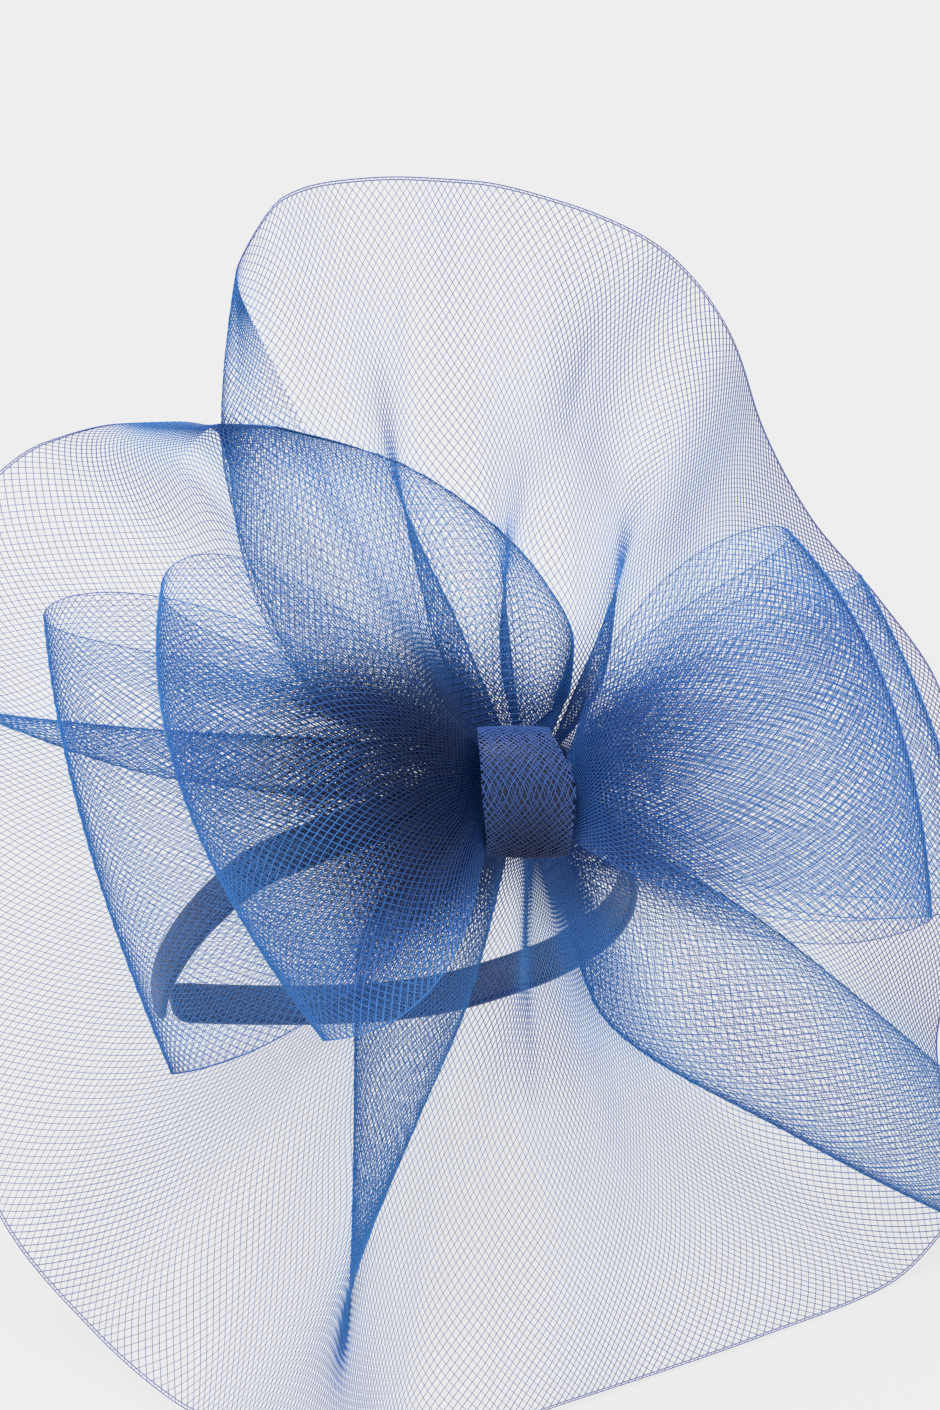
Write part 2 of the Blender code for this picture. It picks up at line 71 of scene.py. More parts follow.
# Colour of the threads by how many layers lie over each other: share 0 is one layer, 0.25 two, 0.5 four, 0.75 eight, 1
# sixteen. Besides the thread's blue, this is painted light and shade: stacked layers are painted brighter and more
# cyan, as light scattered through them, and the densest gathers are painted darker, as their self-shade.
NET_STOPS = (
    (0.00, (0.050, 0.100, 0.44)),
    (0.22, (0.048, 0.140, 0.52)),
    (0.45, (0.062, 0.290, 0.72)),
    (0.62, (0.055, 0.265, 0.68)),
    (0.80, (0.042, 0.190, 0.56)),
    (1.00, (0.030, 0.120, 0.40)),
)
# The same for the loops of the bow: painted light where layers stack, and painted shade in the densest gathers.
BOW_STOPS = (
    (0.20, (0.050, 0.135, 0.50)),
    (0.48, (0.058, 0.255, 0.66)),
    (0.68, (0.055, 0.255, 0.67)),
    (0.82, (0.045, 0.200, 0.60)),
    (1.00, (0.032, 0.130, 0.44)),
)
NET_STRETCH = 0.15          # how much more the net is stretched at the hub than at its outer edge
HUB_WIDER = (8.0, 30.0, 2.3, 0.9)       # from this distance to that one from the hub, threads are at least this much wider
PLACES_WIDER = (            # the same round other places: where bow and net are crushed together, under the knot, and on two swells
    ((-41.0, 0.0), 13.0, 27.0, 2.1, 0.8),
    ((0.0, -60.0), 8.0, 26.0, 1.15, 0.7),
    ((64.0, 18.0), 8.0, 24.0, 1.22, 0.75),
    ((50.0, -59.0), 6.0, 22.0, 0.95, 0.7),
)
BOW_NET = {"left": (2.3, (0.080, 0.155)), "right": (2.55, (0.067, 0.170))}     # spacing of the threads, and their half widths
EDGE_HALF = (0.12, 0.12)    # woven edge of a strip
WRAP_HALF = (0.13, 0.14)    # threads of the knot wrap

# ---------------------------------------------------------------- camera: at the photograph's angle
FRAME_W, FRAME_H = 940, 1410
FOCAL_PX = 4000.0
CAMERA_AT = (-15.0, 21.25, 1000.0)   # in the saucer frame

TILT = math.radians(SAUCER_TILT_DEG)
HUB = np.array([HUB_X, HUB_Y, HUB_Z])
AXIS_X = np.array([1.0, 0.0, 0.0])
AXIS_Y = np.array([0.0, math.cos(TILT), math.sin(TILT)])
AXIS_Z = np.array([0.0, -math.sin(TILT), math.cos(TILT)])


def saucer_to_world(points):
    points = np.asarray(points, float)
    return HUB + points[..., :1] * AXIS_X + points[..., 1:2] * AXIS_Y + points[..., 2:3] * AXIS_Z


camera_data = bpy.data.cameras.new("camera")
camera_data.sensor_fit = "AUTO"
camera_data.sensor_width = 36.0
camera_data.lens = FOCAL_PX / FRAME_H * 36.0
camera_data.clip_start, camera_data.clip_end = 0.05, 20.0
camera = bpy.data.objects.new("camera", camera_data)
bpy.context.scene.collection.objects.link(camera)
eye = saucer_to_world(np.array(CAMERA_AT)) / 1000.0
pose = np.eye(4)
pose[:3, 0], pose[:3, 1], pose[:3, 2], pose[:3, 3] = AXIS_X, AXIS_Y, AXIS_Z, eye
camera.matrix_world = Matrix(pose.tolist())
bpy.context.scene.camera = camera

# ---------------------------------------------------------------- tables, as in the part's own source
NET_ROWS = (
    ("end_a", 0, 68, 70, 11.1, -3, 110, 13, -3, 140, 10.5, -4.5),
    ("end_b", 12, 71, 69.6, 17.3, -2, 68.3, 26.9, 2, 150, 11, -5),
    ("arch_1", 20, 75, 73.9, 23.4, 0, 73.4, 37.7, 8, 155.2, 16.5, -5),
    ("arch_2", 34, 89, 89.1, 27.5, 3, 87, 52.8, 15, 160.1, 30.7, -5),
    ("arch_3", 52, 104, 104.3, 33.5, 4, 102.1, 71.6, 19, 159.4, 48.2, -5),
    ("arch_4", 72, 118, 118.2, 39.6, 5, 113.4, 89.1, 20, 153.1, 67.5, -4),
    ("arch_5", 108, 127, 127.2, 45.4, 5, 122.8, 104.6, 20, 138.9, 96.8, 2),
    ("arch_6", 128, 131, 131, 46.2, 4.5, 126.3, 111.5, 19, 132.6, 111, 6),
    ("arch_7", 142, 135, 134.5, 46.6, 4, 130.1, 118, 17, 131.1, 118.6, 9),
    ("left_0", 158, 139, 139, 45.8, 3, 133.5, 120, 14, 133.7, 126.4, 9),
    ("left_1", 176, 144, 144.1, 44.7, 2, 137.5, 118.2, 11, 138.2, 136.7, 6),
    ("left_2", 201, 149, 149.3, 46.5, 0, 145.5, 101.4, 3, 144.4, 150.2, -8),
    ("left_3", 234, 154, 154.6, 46.5, -1, 157.7, 98.7, 0, 155.9, 161, -15),
    ("left_4", 263, 158, 158.2, 45.8, -1, 165.4, 99.5, -1, 165.8, 164.1, -20),
    ("D_low", 293, 172, 183.5, 40.6, 0, 178.4, 88, 0, 169.9, 165.2, -22),
    ("D_up", 323, 175, 163.3, 41.4, -7, 170.7, 91.3, -8, 172.5, 165.4, -24),
    ("left_5", 351, 187, 183.9, 40.9, -12, 180.2, 96, -13, 176.6, 165.5, -27),
    ("left_6", 391, 199, 199.4, 42.7, -12, 193.9, 96.5, -15, 190.2, 164, -31),
    ("left_7", 434, 209, 209.6, 44, -11, 207.3, 100.6, -18, 204.9, 167.9, -36),
    ("left_8", 478, 216, 219.3, 46.1, -9, 220.3, 107.4, -22, 219.1, 177, -41),
    ("low_1", 522, 222, 229.4, 49.4, -8, 231, 109.4, -25, 232.1, 184.6, -57.9),
    ("low_2", 554, 228, 238.5, 50.4, -7, 240.6, 106.1, -22, 241.9, 187.5, -55.7),
    ("E_right", 601, 238, 254.1, 51.1, -5, 251.5, 88.8, -16, 248.8, 185.3, -52),
    ("E_left", 657, 241, 224, 60.7, -15, 244.9, 106, -31, 255.2, 184.4, -50.7),
    ("low_3", 703, 256, 251.1, 50.3, -20, 256.3, 107.3, -35, 259.2, 179, -51.2),
    ("F_right", 727, 267, 266.5, 43, -16, 264.5, 105.7, -35, 266.7, 170.2, -54.8),
    ("F_left", 747, 272, 270.5, 43, -18, 272.5, 105.7, -36, 273.1, 164.2, -58.5),
    ("low_4", 775, 280, 280.9, 49.4, -15, 281, 103.2, -34, 280.8, 160.8, -63.7),
    ("low_5", 809, 285, 288.7, 47.8, -12, 288.8, 101.8, -34, 292.9, 160.6, -70.7),
    ("low_6", 852, 292, 299.4, 46.5, -9, 300.5, 102.6, -32, 307.2, 167.3, -80.6),
    ("G_up", 918, 310, 331.6, 52.1, -5, 327.1, 108.1, -22, 324.5, 157.3, -60),
    ("G_low", 968, 313, 286.8, 56.4, -17, 307.6, 116.1, -46, 315.8, 175.4, -82.9),
    ("right_1", 1038, 332, 325.6, 53.4, -28, 328.3, 100.7, -60, 327.5, 133.3, -92),
    ("right_2", 1071, 339, 337.5, 48.1, -24, 342.1, 89.9, -58, 341.3, 127.1, -101),
    ("right_3", 1107, 353, 352.7, 43.5, -20, 357.5, 85.2, -54, 357.6, 122.2, -106),
    ("right_4", 1138, 370, 10.1, 41.5, -16, 14.2, 81.5, -50, 12.4, 118, -108),
    ("right_5", 1168, 383, 23, 41.5, -13, 27, 78.6, -47, 27.1, 110.5, -106),
    ("right_6", 1198, 394, 34.3, 39.9, -10, 41.7, 77, -43, 42.5, 107.2, -100),
    ("right_7", 1230, 405, 44.7, 39.2, -8, 55.4, 80.9, -37, 56, 115.6, -84),
    ("C_left", 1270, 421, 65.9, 37, -3, 66.5, 85, -28, 65.2, 130.8, -64),
    ("C_right", 1290, 424, 59.9, 40.6, -10, 74, 85.8, -31, 71.5, 139.7, -50),
    ("top_1", 1317, 431, 71.1, 35.9, -15, 82, 88.7, -28, 77.4, 145.4, -38),
    ("top_2", 1342, 452, 101, 39, -12, 89, 90.5, -24, 86.4, 150.1, -24),
    ("top_3", 1367, 463, 97.4, 40, -17, 97, 93, -20, 95.1, 154.4, -12),
    ("A_left", 1392, 476, 121.8, 46.6, -6, 109, 98.4, -12, 101.4, 157.1, -5.7),
    ("A_right", 1414, 479, 113.2, 43.2, -13, 113.4, 101.1, -15, 108, 160.2, -1.7),
    ("top_4", 1436, 487, 132.9, 48.1, -15, 121.8, 105.6, -12, 112.6, 160.6, 0),
    ("F2", 1460, 502, 158.2, 55.2, -8, 131.4, 117, -3, 119.3, 149.4, 2),
    ("flap", 1475, 507, 142, 57, -14, 126.5, 117, -9, 119.9, 147.5, -3),
    ("end_c", 1490, 512, 125.4, 58.8, -18, 121.4, 116.7, -14, 120.4, 145, -6),

)

LOOP_ROWS = (
    ("bow_loop_left_outer", (-119.6, 43.0, 18.0), (-109.2, -9.2, 24.0), (-87.9, -69.0, 22.0), (-11.2, 10.4, 6.9), (-11.0, -11.8, 6.9), 9.4, 9.5, 0.5, 1.7),
    ("bow_loop_left_inner", (-88.2, 49.0, 50.0), (-82.0, -1.1, 60.0), (-49.5, -58.0, 56.0), (-12.2, 10.4, 10.9), (-11.2, -12.0, 10.9), 12.0, 14.0, 1.0, 1.9),
    ("bow_loop_right_inner", (61.3, 61.8, 46.0), (84.0, 23.6, 56.0), (94.5, -29.2, 52.0), (10.2, 11.2, 10.7), (10.2, -12.0, 10.7), 12.6, 7.5, 4.5, 2.2),
    ("bow_loop_right_outer", (81.4, 52.5, 16.0), (97.6, 17.2, 22.0), (111.2, -26.5, 20.0), (10.3, 10.4, 6.9), (10.3, -11.0, 6.9), 9.0, 6.0, 4.0, 2.0),
)

WRAP_ROWS = (
    (1.0, -13.2, 4.6),
    (0.5, -12.5, 8.6),
    (0.0, -12.0, 11.0),
    (-0.5, -11.3, 10.4),
    (-1.0, -10.6, 9.4),
)

BAND_ROWS = (
    (-70.0, 55.3, 8.7),
    (-67.4, 69.1, 6.5),
    (-61.8, 80.6, 3.7),
    (-52.4, 95.1, 1.7),
    (-40.7, 106.8, 0.0),
    (-25.4, 114.4, 0.0),
    (-3.6, 120.0, 0.0),
    (10.8, 122.0, 0.0),
    (24.6, 120.2, 0.0),
    (37.8, 112.7, 0.0),
    (49.6, 97.0, 0.0),
    (59.0, 71.8, 0.0),
    (63.9, 42.1, 0.0),
    (62.0, 28.0, 0.0),
    (56.7, 16.1, 0.0),
    (46.5, 5.8, 0.0),
    (27.2, -1.2, 0.0),
    (12.0, -2.5, 0.0),
    (-2.0, 0.4, 0.0),
    (-22.9, 9.3, 0.0),
    (-44.5, 21.4, 0.0),
    (-64.6, 34.2, 0.0),
)

YAW = math.radians(BAND_YAW_DEG)
LEAN = math.radians(BAND_LEAN_DEG)
ALONG = np.array([math.cos(YAW), math.sin(YAW), 0.0])
UPWARD = np.array([math.sin(YAW) * math.sin(LEAN), -math.cos(YAW) * math.sin(LEAN), math.cos(LEAN)])
SIDEWAYS = np.cross(ALONG, UPWARD)


def band_to_world(p, q, side):
    at = HUB + np.array(BAND_AT)
    return at + p[..., None] * ALONG + q[..., None] * UPWARD + side[..., None] * SIDEWAYS


# ---------------------------------------------------------------- smooth curves through table rows
def slopes(x, y):
    h = np.diff(x)[:, None]
    d = np.diff(y, axis=0) / h
    m = np.zeros_like(y)
    w1, w2 = 2 * h[1:] + h[:-1], h[1:] + 2 * h[:-1]
    same = d[1:] * d[:-1] > 0
    safe = np.where(same, d[1:] * d[:-1], 1.0)
    m[1:-1] = np.where(same, (w1 + w2) * safe / np.where(same, w1 * d[1:] + w2 * d[:-1], 1.0), 0.0)
    m[0], m[-1] = d[0], d[-1]
    return m


def through(x, y, q, m=None):
    x, y = np.asarray(x, float), np.asarray(y, float)
    m = slopes(x, y) if m is None else m
    i = np.clip(np.searchsorted(x, q, side="right") - 1, 0, len(x) - 2)
    h = (x[i + 1] - x[i])[:, None]
    s = ((q - x[i])[:, None]) / h
    return (
        (2 * s**3 - 3 * s**2 + 1) * y[i]
        + (s**3 - 2 * s**2 + s) * h * m[i]
        + (-2 * s**3 + 3 * s**2) * y[i + 1]
        + (s**3 - s**2) * h * m[i + 1]
    )


# ---------------------------------------------------------------- the nets' middle surfaces, in the saucer frame
def net_stations():
    out = np.zeros((len(NET_ROWS), 4, 3))
    for i, row in enumerate(NET_ROWS):
        a = math.radians(row[2])
        down = HUB_TOP + (HUB_BOTTOM - HUB_TOP) * i / (len(NET_ROWS) - 1)
        out[i, 0] = (HUB_RADIUS * math.cos(a), HUB_RADIUS * math.sin(a), down)
        for k in range(3):
            az, r, h = row[3 + 3 * k : 6 + 3 * k]
            a = math.radians(az)
            out[i, k + 1] = (r * math.cos(a), r * math.sin(a), h)
    return out


STATIONS = net_stations()
NET_ALONG = np.array([row[1] for row in NET_ROWS], float)
NET_LENGTH = float(NET_ALONG[-1])


def net_points(along, across):
    c = through(NET_ALONG, STATIONS.reshape(len(NET_ALONG), 12), along).reshape(-1, 4, 3)
    n = len(along)
    y = c.transpose(1, 0, 2).reshape(4, n * 3)
    v = np.array([0, 1 / 3, 2 / 3, 1.0])
    m = slopes(v, y)
    m[0] = (y[1] - y[0]) * 4.5 - m[1] * 0.5
    m[3] = (y[3] - y[2]) * 4.5 - m[2] * 0.5
    y, m = y.reshape(4, n, 3), m.reshape(4, n, 3)
    i = np.clip((across * 3).astype(int), 0, 2)
    k = np.arange(n)
    s = (across * 3 - i)[:, None]
    h = 1 / 3
    return (
        (2 * s**3 - 3 * s**2 + 1) * y[i, k]
        + (s**3 - 2 * s**2 + s) * h * m[i, k]
        + (-2 * s**3 + 3 * s**2) * y[i + 1, k]
        + (s**3 - s**2) * h * m[i + 1, k]
    )


def loop_points(row, t, w):
    top, middle, bottom, waist_top, waist_bottom = (np.array(v, float) for v in row[1:6])
    half_depth, rise_top, rise_bottom, spread = row[6:10]
    t, w = t[:, None], w[:, None]
    tau = 2 * math.pi * t
    out = (1 - np.cos(tau)) / 2
    fold = top * (1 - w) * (1 - 2 * w) + middle * 4 * w * (1 - w) + bottom * w * (2 * w - 1)
    waist = waist_top * (1 - w) + waist_bottom * w
    waist_middle = (waist_top + waist_bottom) / 2
    share = 1 - (1 - out) ** spread
    p = waist_middle + (middle - waist_middle) * out + (waist - waist_middle) * (1 - share) + (fold - middle) * share
    mouth = np.sin(tau) * np.abs(np.sin(tau / 2)) ** 1.2
    rise = mouth * (rise_top * (1 - w) + rise_bottom * w)
    depth = mouth * half_depth + np.cos(tau / 2) * LOOP_SLOT
    return p + np.concatenate([0 * rise, rise, depth], axis=1)


# ---------------------------------------------------------------- threads
def unit(v):
    return v / np.maximum(np.linalg.norm(v, axis=-1, keepdims=True), 1e-9)


def tubes(lines, normals, half, sides=3, widen=None):
    """Open tubes along many lines of the same point count: lines and normals are (threads, points, 3) in mm. Returns points and quads."""
    tangent = unit(np.gradient(lines, axis=1))
    side = unit(np.cross(tangent, normals))
    up = np.cross(side, tangent)
    n, m = lines.shape[:2]
    turn = np.arange(sides) * 2 * math.pi / sides + math.pi / 2
    if widen is not None:
        side = side * widen[:, :, None]
    ring = lines[:, :, None, :] + (
        half[0] * np.cos(turn)[None, None, :, None] * side[:, :, None, :] + half[1] * np.sin(turn)[None, None, :, None] * up[:, :, None, :]
    )
    base = (np.arange(n)[:, None, None] * m + np.arange(m - 1)[None, :, None]) * sides
    k = np.arange(sides)[None, None, :]
    k2 = (k + 1) % sides
    quads = np.stack([base + k, base + k2, base + sides + k2, base + sides + k], -1)
    return ring.reshape(-1, 3), quads.reshape(-1, 4)


def slanted(length, width, pitch, lean, phase=0.0):
    """Start and end of every slanting thread of a strip: (edge position at width 0 and share of the width where it starts and ends)."""
    lo, hi = (-width, length) if lean > 0 else (0.0, length + width)
    u0 = np.arange(lo + phase, hi, pitch)
    if lean > 0:
        v_lo, v_hi = np.clip(-u0 / width, 0, 1), np.clip((length - u0) / width, 0, 1)
    else:
        v_lo, v_hi = np.clip((u0 - length) / width, 0, 1), np.clip(u0 / width, 0, 1)
    keep = v_hi - v_lo > 0.012
    return u0[keep], v_lo[keep], v_hi[keep]


def mesh_object(name, points_mm, quads, material, smooth=True, frame_of=None):
    mesh = bpy.data.meshes.new(name)
    points = (points_mm if frame_of is None else frame_of(points_mm)) / 1000.0
    mesh.vertices.add(len(points))
    mesh.vertices.foreach_set("co", np.ascontiguousarray(points, np.float32).ravel())
    size = quads.shape[1]
    mesh.loops.add(quads.size)
    mesh.loops.foreach_set("vertex_index", np.ascontiguousarray(quads, np.int32).ravel())
    mesh.polygons.add(len(quads))
    mesh.polygons.foreach_set("loop_start", np.arange(0, quads.size, size, dtype=np.int32))
    mesh.polygons.foreach_set("use_smooth", np.full(len(quads), smooth))
    mesh.update(calc_edges=True)
    mesh.validate()
    mesh.materials.append(material)
    obj = bpy.data.objects.new(name, mesh)
    bpy.context.scene.collection.objects.link(obj)
    return obj


def join(parts):
    points, quads, start = [], [], 0
    for p, q in parts:
        points.append(p)
        quads.append(q + start)
        start += len(p)
    return np.concatenate(points), np.concatenate(quads)


# ---------------------------------------------------------------- how many layers of net lie over each other
MAP_CELL, MAP_HALF = 3.0, 240.0     # mm, in the saucer frame


def layer_map():
    """Flat area of net that lies over each cell of the saucer's plane, in cell areas: 1 for a single open layer, more in folds and gathers."""
    size = int(2 * MAP_HALF / MAP_CELL)
    cells = np.zeros((size, size))

    def add(points, area):
        k = np.clip(((points[:, :2] + MAP_HALF) / MAP_CELL).astype(int), 0, size - 1)
        np.add.at(cells, (k[:, 0], k[:, 1]), area / MAP_CELL**2)

    u, v = np.meshgrid(np.arange(0.75, NET_LENGTH, 1.5), (np.arange(90) + 0.5) / 90)
    add(net_points(u.ravel(), v.ravel()), 1.5 * NET_WIDTH / 90)
    for row in LOOP_ROWS:
        t, w = np.meshgrid((np.arange(160) + 0.5) / 160, (np.arange(90) + 0.5) / 90)
        add(loop_points(row, t.ravel(), w.ravel()), 210.0 * 110.0 / (160 * 90))
    for _ in range(2):
        wide = np.pad(cells, 1, mode="edge")
        cells = (wide[:-2, 1:-1] + 2 * wide[1:-1, 1:-1] + wide[2:, 1:-1]) / 4
        wide = np.pad(cells, 1, mode="edge")
        cells = (wide[1:-1, :-2] + 2 * wide[1:-1, 1:-1] + wide[1:-1, 2:]) / 4
    return cells


LAYERS = layer_map()


def layers_at(points):
    k = np.clip((points[..., :2] + MAP_HALF) / MAP_CELL - 0.5, 0, len(LAYERS) - 1.001)
    i = k.astype(int)
    f = k - i
    x, y, fx, fy = i[..., 0], i[..., 1], f[..., 0], f[..., 1]
    return (
        LAYERS[x, y] * (1 - fx) * (1 - fy) + LAYERS[x + 1, y] * fx * (1 - fy) + LAYERS[x, y + 1] * (1 - fx) * fy + LAYERS[x + 1, y + 1] * fx * fy
    )


def widening(points):
    """Threads lie flat and fine where the net is open, and bunch together where it is gathered."""
    near, far, most, least = HUB_WIDER
    by_hub = np.interp(np.hypot(points[..., 0], points[..., 1]), (near, far), (most, least), right=0.0)
    wider = np.maximum(np.interp(layers_at(points), THREAD_WIDER[0], THREAD_WIDER[1]), by_hub)
    for (x, y), near, far, most, least in PLACES_WIDER:
        wider = np.maximum(wider, np.interp(np.hypot(points[..., 0] - x, points[..., 1] - y), (near, far), (most, least), right=0.0))
    return wider


def mark_layers(obj, points_mm):
    """Writes the share that the thread material reads: 0 for a single layer, 0.25 for two, 0.5 for four and so on."""
    share = np.clip(np.log2(np.maximum(layers_at(points_mm), 1.0)) / 4, 0, 1)
    made = obj.data.attributes.new("layers", "FLOAT", "POINT")
    made.data.foreach_set("value", share.astype(np.float32))


# ---------------------------------------------------------------- materials
def new_material(name):
    m = bpy.data.materials.new(name)
    m.use_nodes = True
    return m, m.node_tree.nodes, m.node_tree.links, m.node_tree.nodes["Principled BSDF"]


def noise(nodes, links, scale, detail=2.0, rough=0.5):
    coords = nodes.new("ShaderNodeTexCoord")
    tex = nodes.new("ShaderNodeTexNoise")
    tex.inputs["Scale"].default_value = scale
    tex.inputs["Detail"].default_value = detail
    tex.inputs["Roughness"].default_value = rough
    links.new(coords.outputs["Object"], tex.inputs["Vector"])
    return tex


def ramp(nodes, links, source, stops):
    r = nodes.new("ShaderNodeValToRGB")
    links.new(source, r.inputs["Fac"])
    r.color_ramp.elements[0].position, r.color_ramp.elements[0].color = stops[0][0], (*stops[0][1], 1)
    r.color_ramp.elements[1].position, r.color_ramp.elements[1].color = stops[-1][0], (*stops[-1][1], 1)
    for at, colour in stops[1:-1]:
        e = r.color_ramp.elements.new(at)
        e.color = (*colour, 1)
    return r


def thread_material(name, stops, roughness, specular, shade):
    """Dyed nylon thread, with painted light and shade. stops are its colours by the layers share: the thread's blue,
    painted brighter and more cyan where layers stack, as light scattered through them, and darker in the densest
    gathers, as their self-shade. shade = (centre, near, far, colour) is painted shade that deepens the threads round
    one place.
    """
    m, nodes, links, shader = new_material(name)
    tex = noise(nodes, links, 55.0, 3.0)
    layers = nodes.new("ShaderNodeAttribute")
    layers.attribute_name = "layers"
    base = ramp(nodes, links, layers.outputs["Fac"], stops).outputs["Color"]
    centre, near, far, deep = shade
    coords = nodes.new("ShaderNodeTexCoord")
    distance = nodes.new("ShaderNodeVectorMath")
    distance.operation = "DISTANCE"
    distance.inputs[1].default_value = tuple(float(v) for v in saucer_to_world(np.array(centre, float)) / 1000.0)
    links.new(coords.outputs["Object"], distance.inputs[0])
    share = nodes.new("ShaderNodeMapRange")
    share.interpolation_type = "SMOOTHSTEP"
    share.inputs["From Min"].default_value = near / 1000.0
    share.inputs["From Max"].default_value = far / 1000.0
    links.new(distance.outputs["Value"], share.inputs["Value"])
    shaded = nodes.new("ShaderNodeMix")
    shaded.data_type = "RGBA"
    shaded.inputs[6].default_value = (*deep, 1)
    links.new(share.outputs["Result"], shaded.inputs[0])
    links.new(base, shaded.inputs[7])
    vary = ramp(nodes, links, tex.outputs["Fac"], ((0.3, (0.80, 0.84, 0.88)), (0.7, (1.0, 1.0, 1.0))))
    mix = nodes.new("ShaderNodeMix")
    mix.data_type = "RGBA"
    mix.blend_type = "MULTIPLY"
    mix.inputs[0].default_value = 1.0
    links.new(shaded.outputs[2], mix.inputs[6])
    links.new(vary.outputs["Color"], mix.inputs[7])
    links.new(mix.outputs[2], shader.inputs["Base Color"])
    rough = nodes.new("ShaderNodeMapRange")
    links.new(tex.outputs["Fac"], rough.inputs["Value"])
    rough.inputs["To Min"].default_value = roughness * 0.8
    rough.inputs["To Max"].default_value = roughness * 1.25
    links.new(rough.outputs["Result"], shader.inputs["Roughness"])
    shader.inputs["Specular IOR Level"].default_value = specular
    return m


# Painted shade: the threads of the net and the bow left of the knot are painted deep navy within 23 mm of this point,
# fading out by 45 mm.
SHADE_LEFT_OF_KNOT = ((-38, 0, 6), 23.0, 45.0, (0.009, 0.030, 0.120))
# Painted shade on the knot: its plies and threads are painted darker towards the knot's bottom, deepest within 3 mm of
# this point and fading out by 24 mm.
KNOT_SHADE_CENTRE = (0, -17, 16)
NET = thread_material("net_thread", NET_STOPS, 0.30, 0.5, SHADE_LEFT_OF_KNOT)
BOW = thread_material("bow_thread", BOW_STOPS, 0.28, 0.5, SHADE_LEFT_OF_KNOT)
# Painted shade: the inner plies of the knot wrap are the same net as the threads over them, but painted near black as
# the shade between the outer threads; the outer threads keep the net's blue.
WRAP_PLIES_SHADE = thread_material("wrap_plies_painted_shade", ((0.0, (0.003, 0.011, 0.044)), (1.0, (0.004, 0.013, 0.050))), 0.40, 0.4, (KNOT_SHADE_CENTRE, 3.0, 24.0, (0.003, 0.006, 0.024)))
WRAP_TOP = thread_material("wrap_thread", ((0.0, (0.058, 0.142, 0.44)), (1.0, (0.066, 0.156, 0.47))), 0.28, 0.6, (KNOT_SHADE_CENTRE, 3.0, 24.0, (0.010, 0.026, 0.105)))


def satin_material():
    m, nodes, links, shader = new_material("satin")
    tex = noise(nodes, links, 120.0, 3.0)
    r = ramp(nodes, links, tex.outputs["Fac"], ((0.3, (0.009, 0.030, 0.120)), (0.75, (0.017, 0.052, 0.190))))
    links.new(r.outputs["Color"], shader.inputs["Base Color"])
    shader.inputs["Roughness"].default_value = 0.34
    shader.inputs["Sheen Weight"].default_value = 0.08
    coords = nodes.new("ShaderNodeTexCoord")
    wave = nodes.new("ShaderNodeTexWave")
    wave.inputs["Scale"].default_value = 900.0
    wave.inputs["Distortion"].default_value = 1.5
    links.new(coords.outputs["Object"], wave.inputs["Vector"])
    bump = nodes.new("ShaderNodeBump")
    bump.inputs["Strength"].default_value = 0.18
    bump.inputs["Distance"].default_value = 0.0002
    links.new(wave.outputs["Fac"], bump.inputs["Height"])
    links.new(bump.outputs["Normal"], shader.inputs["Normal"])
    return m


def felt_material():
    m, nodes, links, shader = new_material("felt")
    tex = noise(nodes, links, 900.0, 6.0, 0.65)
    r = ramp(nodes, links, tex.outputs["Fac"], ((0.3, (0.008, 0.011, 0.035)), (0.7, (0.02, 0.027, 0.075))))
    links.new(r.outputs["Color"], shader.inputs["Base Color"])
    shader.inputs["Roughness"].default_value = 0.95
    shader.inputs["Sheen Weight"].default_value = 0.5
    bump = nodes.new("ShaderNodeBump")
    bump.inputs["Strength"].default_value = 0.6
    bump.inputs["Distance"].default_value = 0.0004
    links.new(tex.outputs["Fac"], bump.inputs["Height"])
    links.new(bump.outputs["Normal"], shader.inputs["Normal"])
    return m


SATIN = satin_material()
FELT = felt_material()

# ---------------------------------------------------------------- the net saucer, thread by thread
NET_POINTS = 41


def net_threads():
    """All threads of the strip, in order along it: lines, normals and the middle position of each."""
    lines, normals, middles = [], [], []
    for lean in (1, -1):
        u0, lo, hi = slanted(NET_LENGTH, NET_WIDTH, NET_PITCH, lean)
        v = lo[:, None] + (hi - lo)[:, None] * np.linspace(0, 1, NET_POINTS)[None, :]
        u = np.clip(u0[:, None] + lean * NET_WIDTH * v, 0, NET_LENGTH)
        v = v * (1 + NET_STRETCH) - NET_STRETCH * v * v
        p = net_points(u.ravel(), v.ravel())
        e = 0.4
        du = net_points(np.minimum(u + e, NET_LENGTH).ravel(), v.ravel()) - net_points(np.maximum(u - e, 0).ravel(), v.ravel())
        dv = net_points(u.ravel(), np.minimum(v + 0.004, 1).ravel()) - net_points(u.ravel(), np.maximum(v - 0.004, 0).ravel())
        n = unit(np.cross(du, dv))
        p = p + n * lean * THREAD_HALF[1] * 0.6
        lines.append(p.reshape(len(u0), NET_POINTS, 3))
        normals.append(n.reshape(len(u0), NET_POINTS, 3))
        middles.append(u.mean(axis=1))
    return np.concatenate(lines), np.concatenate(normals), np.concatenate(middles)


lines, normals, middles = net_threads()
NET_CUT = 770.0
for name, keep in (("net_threads_left", middles < NET_CUT), ("net_threads_right", middles >= NET_CUT)):
    obj = mesh_object(name, *tubes(lines[keep], normals[keep], THREAD_HALF, 3, widening(lines[keep])), NET, frame_of=saucer_to_world)
    mark_layers(obj, lines[keep].repeat(3, axis=1).reshape(-1, 3))
    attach(obj, "root")
    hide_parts("net_saucer")

# woven edge of the strip: two threads that run side by side along the outer edge
edge_u = np.linspace(0, NET_LENGTH, 420)
edge = []
for inset in (0.0, 0.0035):
    p = net_points(edge_u, np.full_like(edge_u, 1 - inset))
    q = net_points(edge_u, np.full_like(edge_u, 0.97))
    n = unit(np.cross(np.gradient(p, axis=0), p - q))
    edge.append(tubes(p[None], n[None], EDGE_HALF))
edge_piece = mesh_object("net_edge", *join(edge), NET, frame_of=saucer_to_world)
mark_layers(edge_piece, join(edge)[0])
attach(edge_piece, "root")

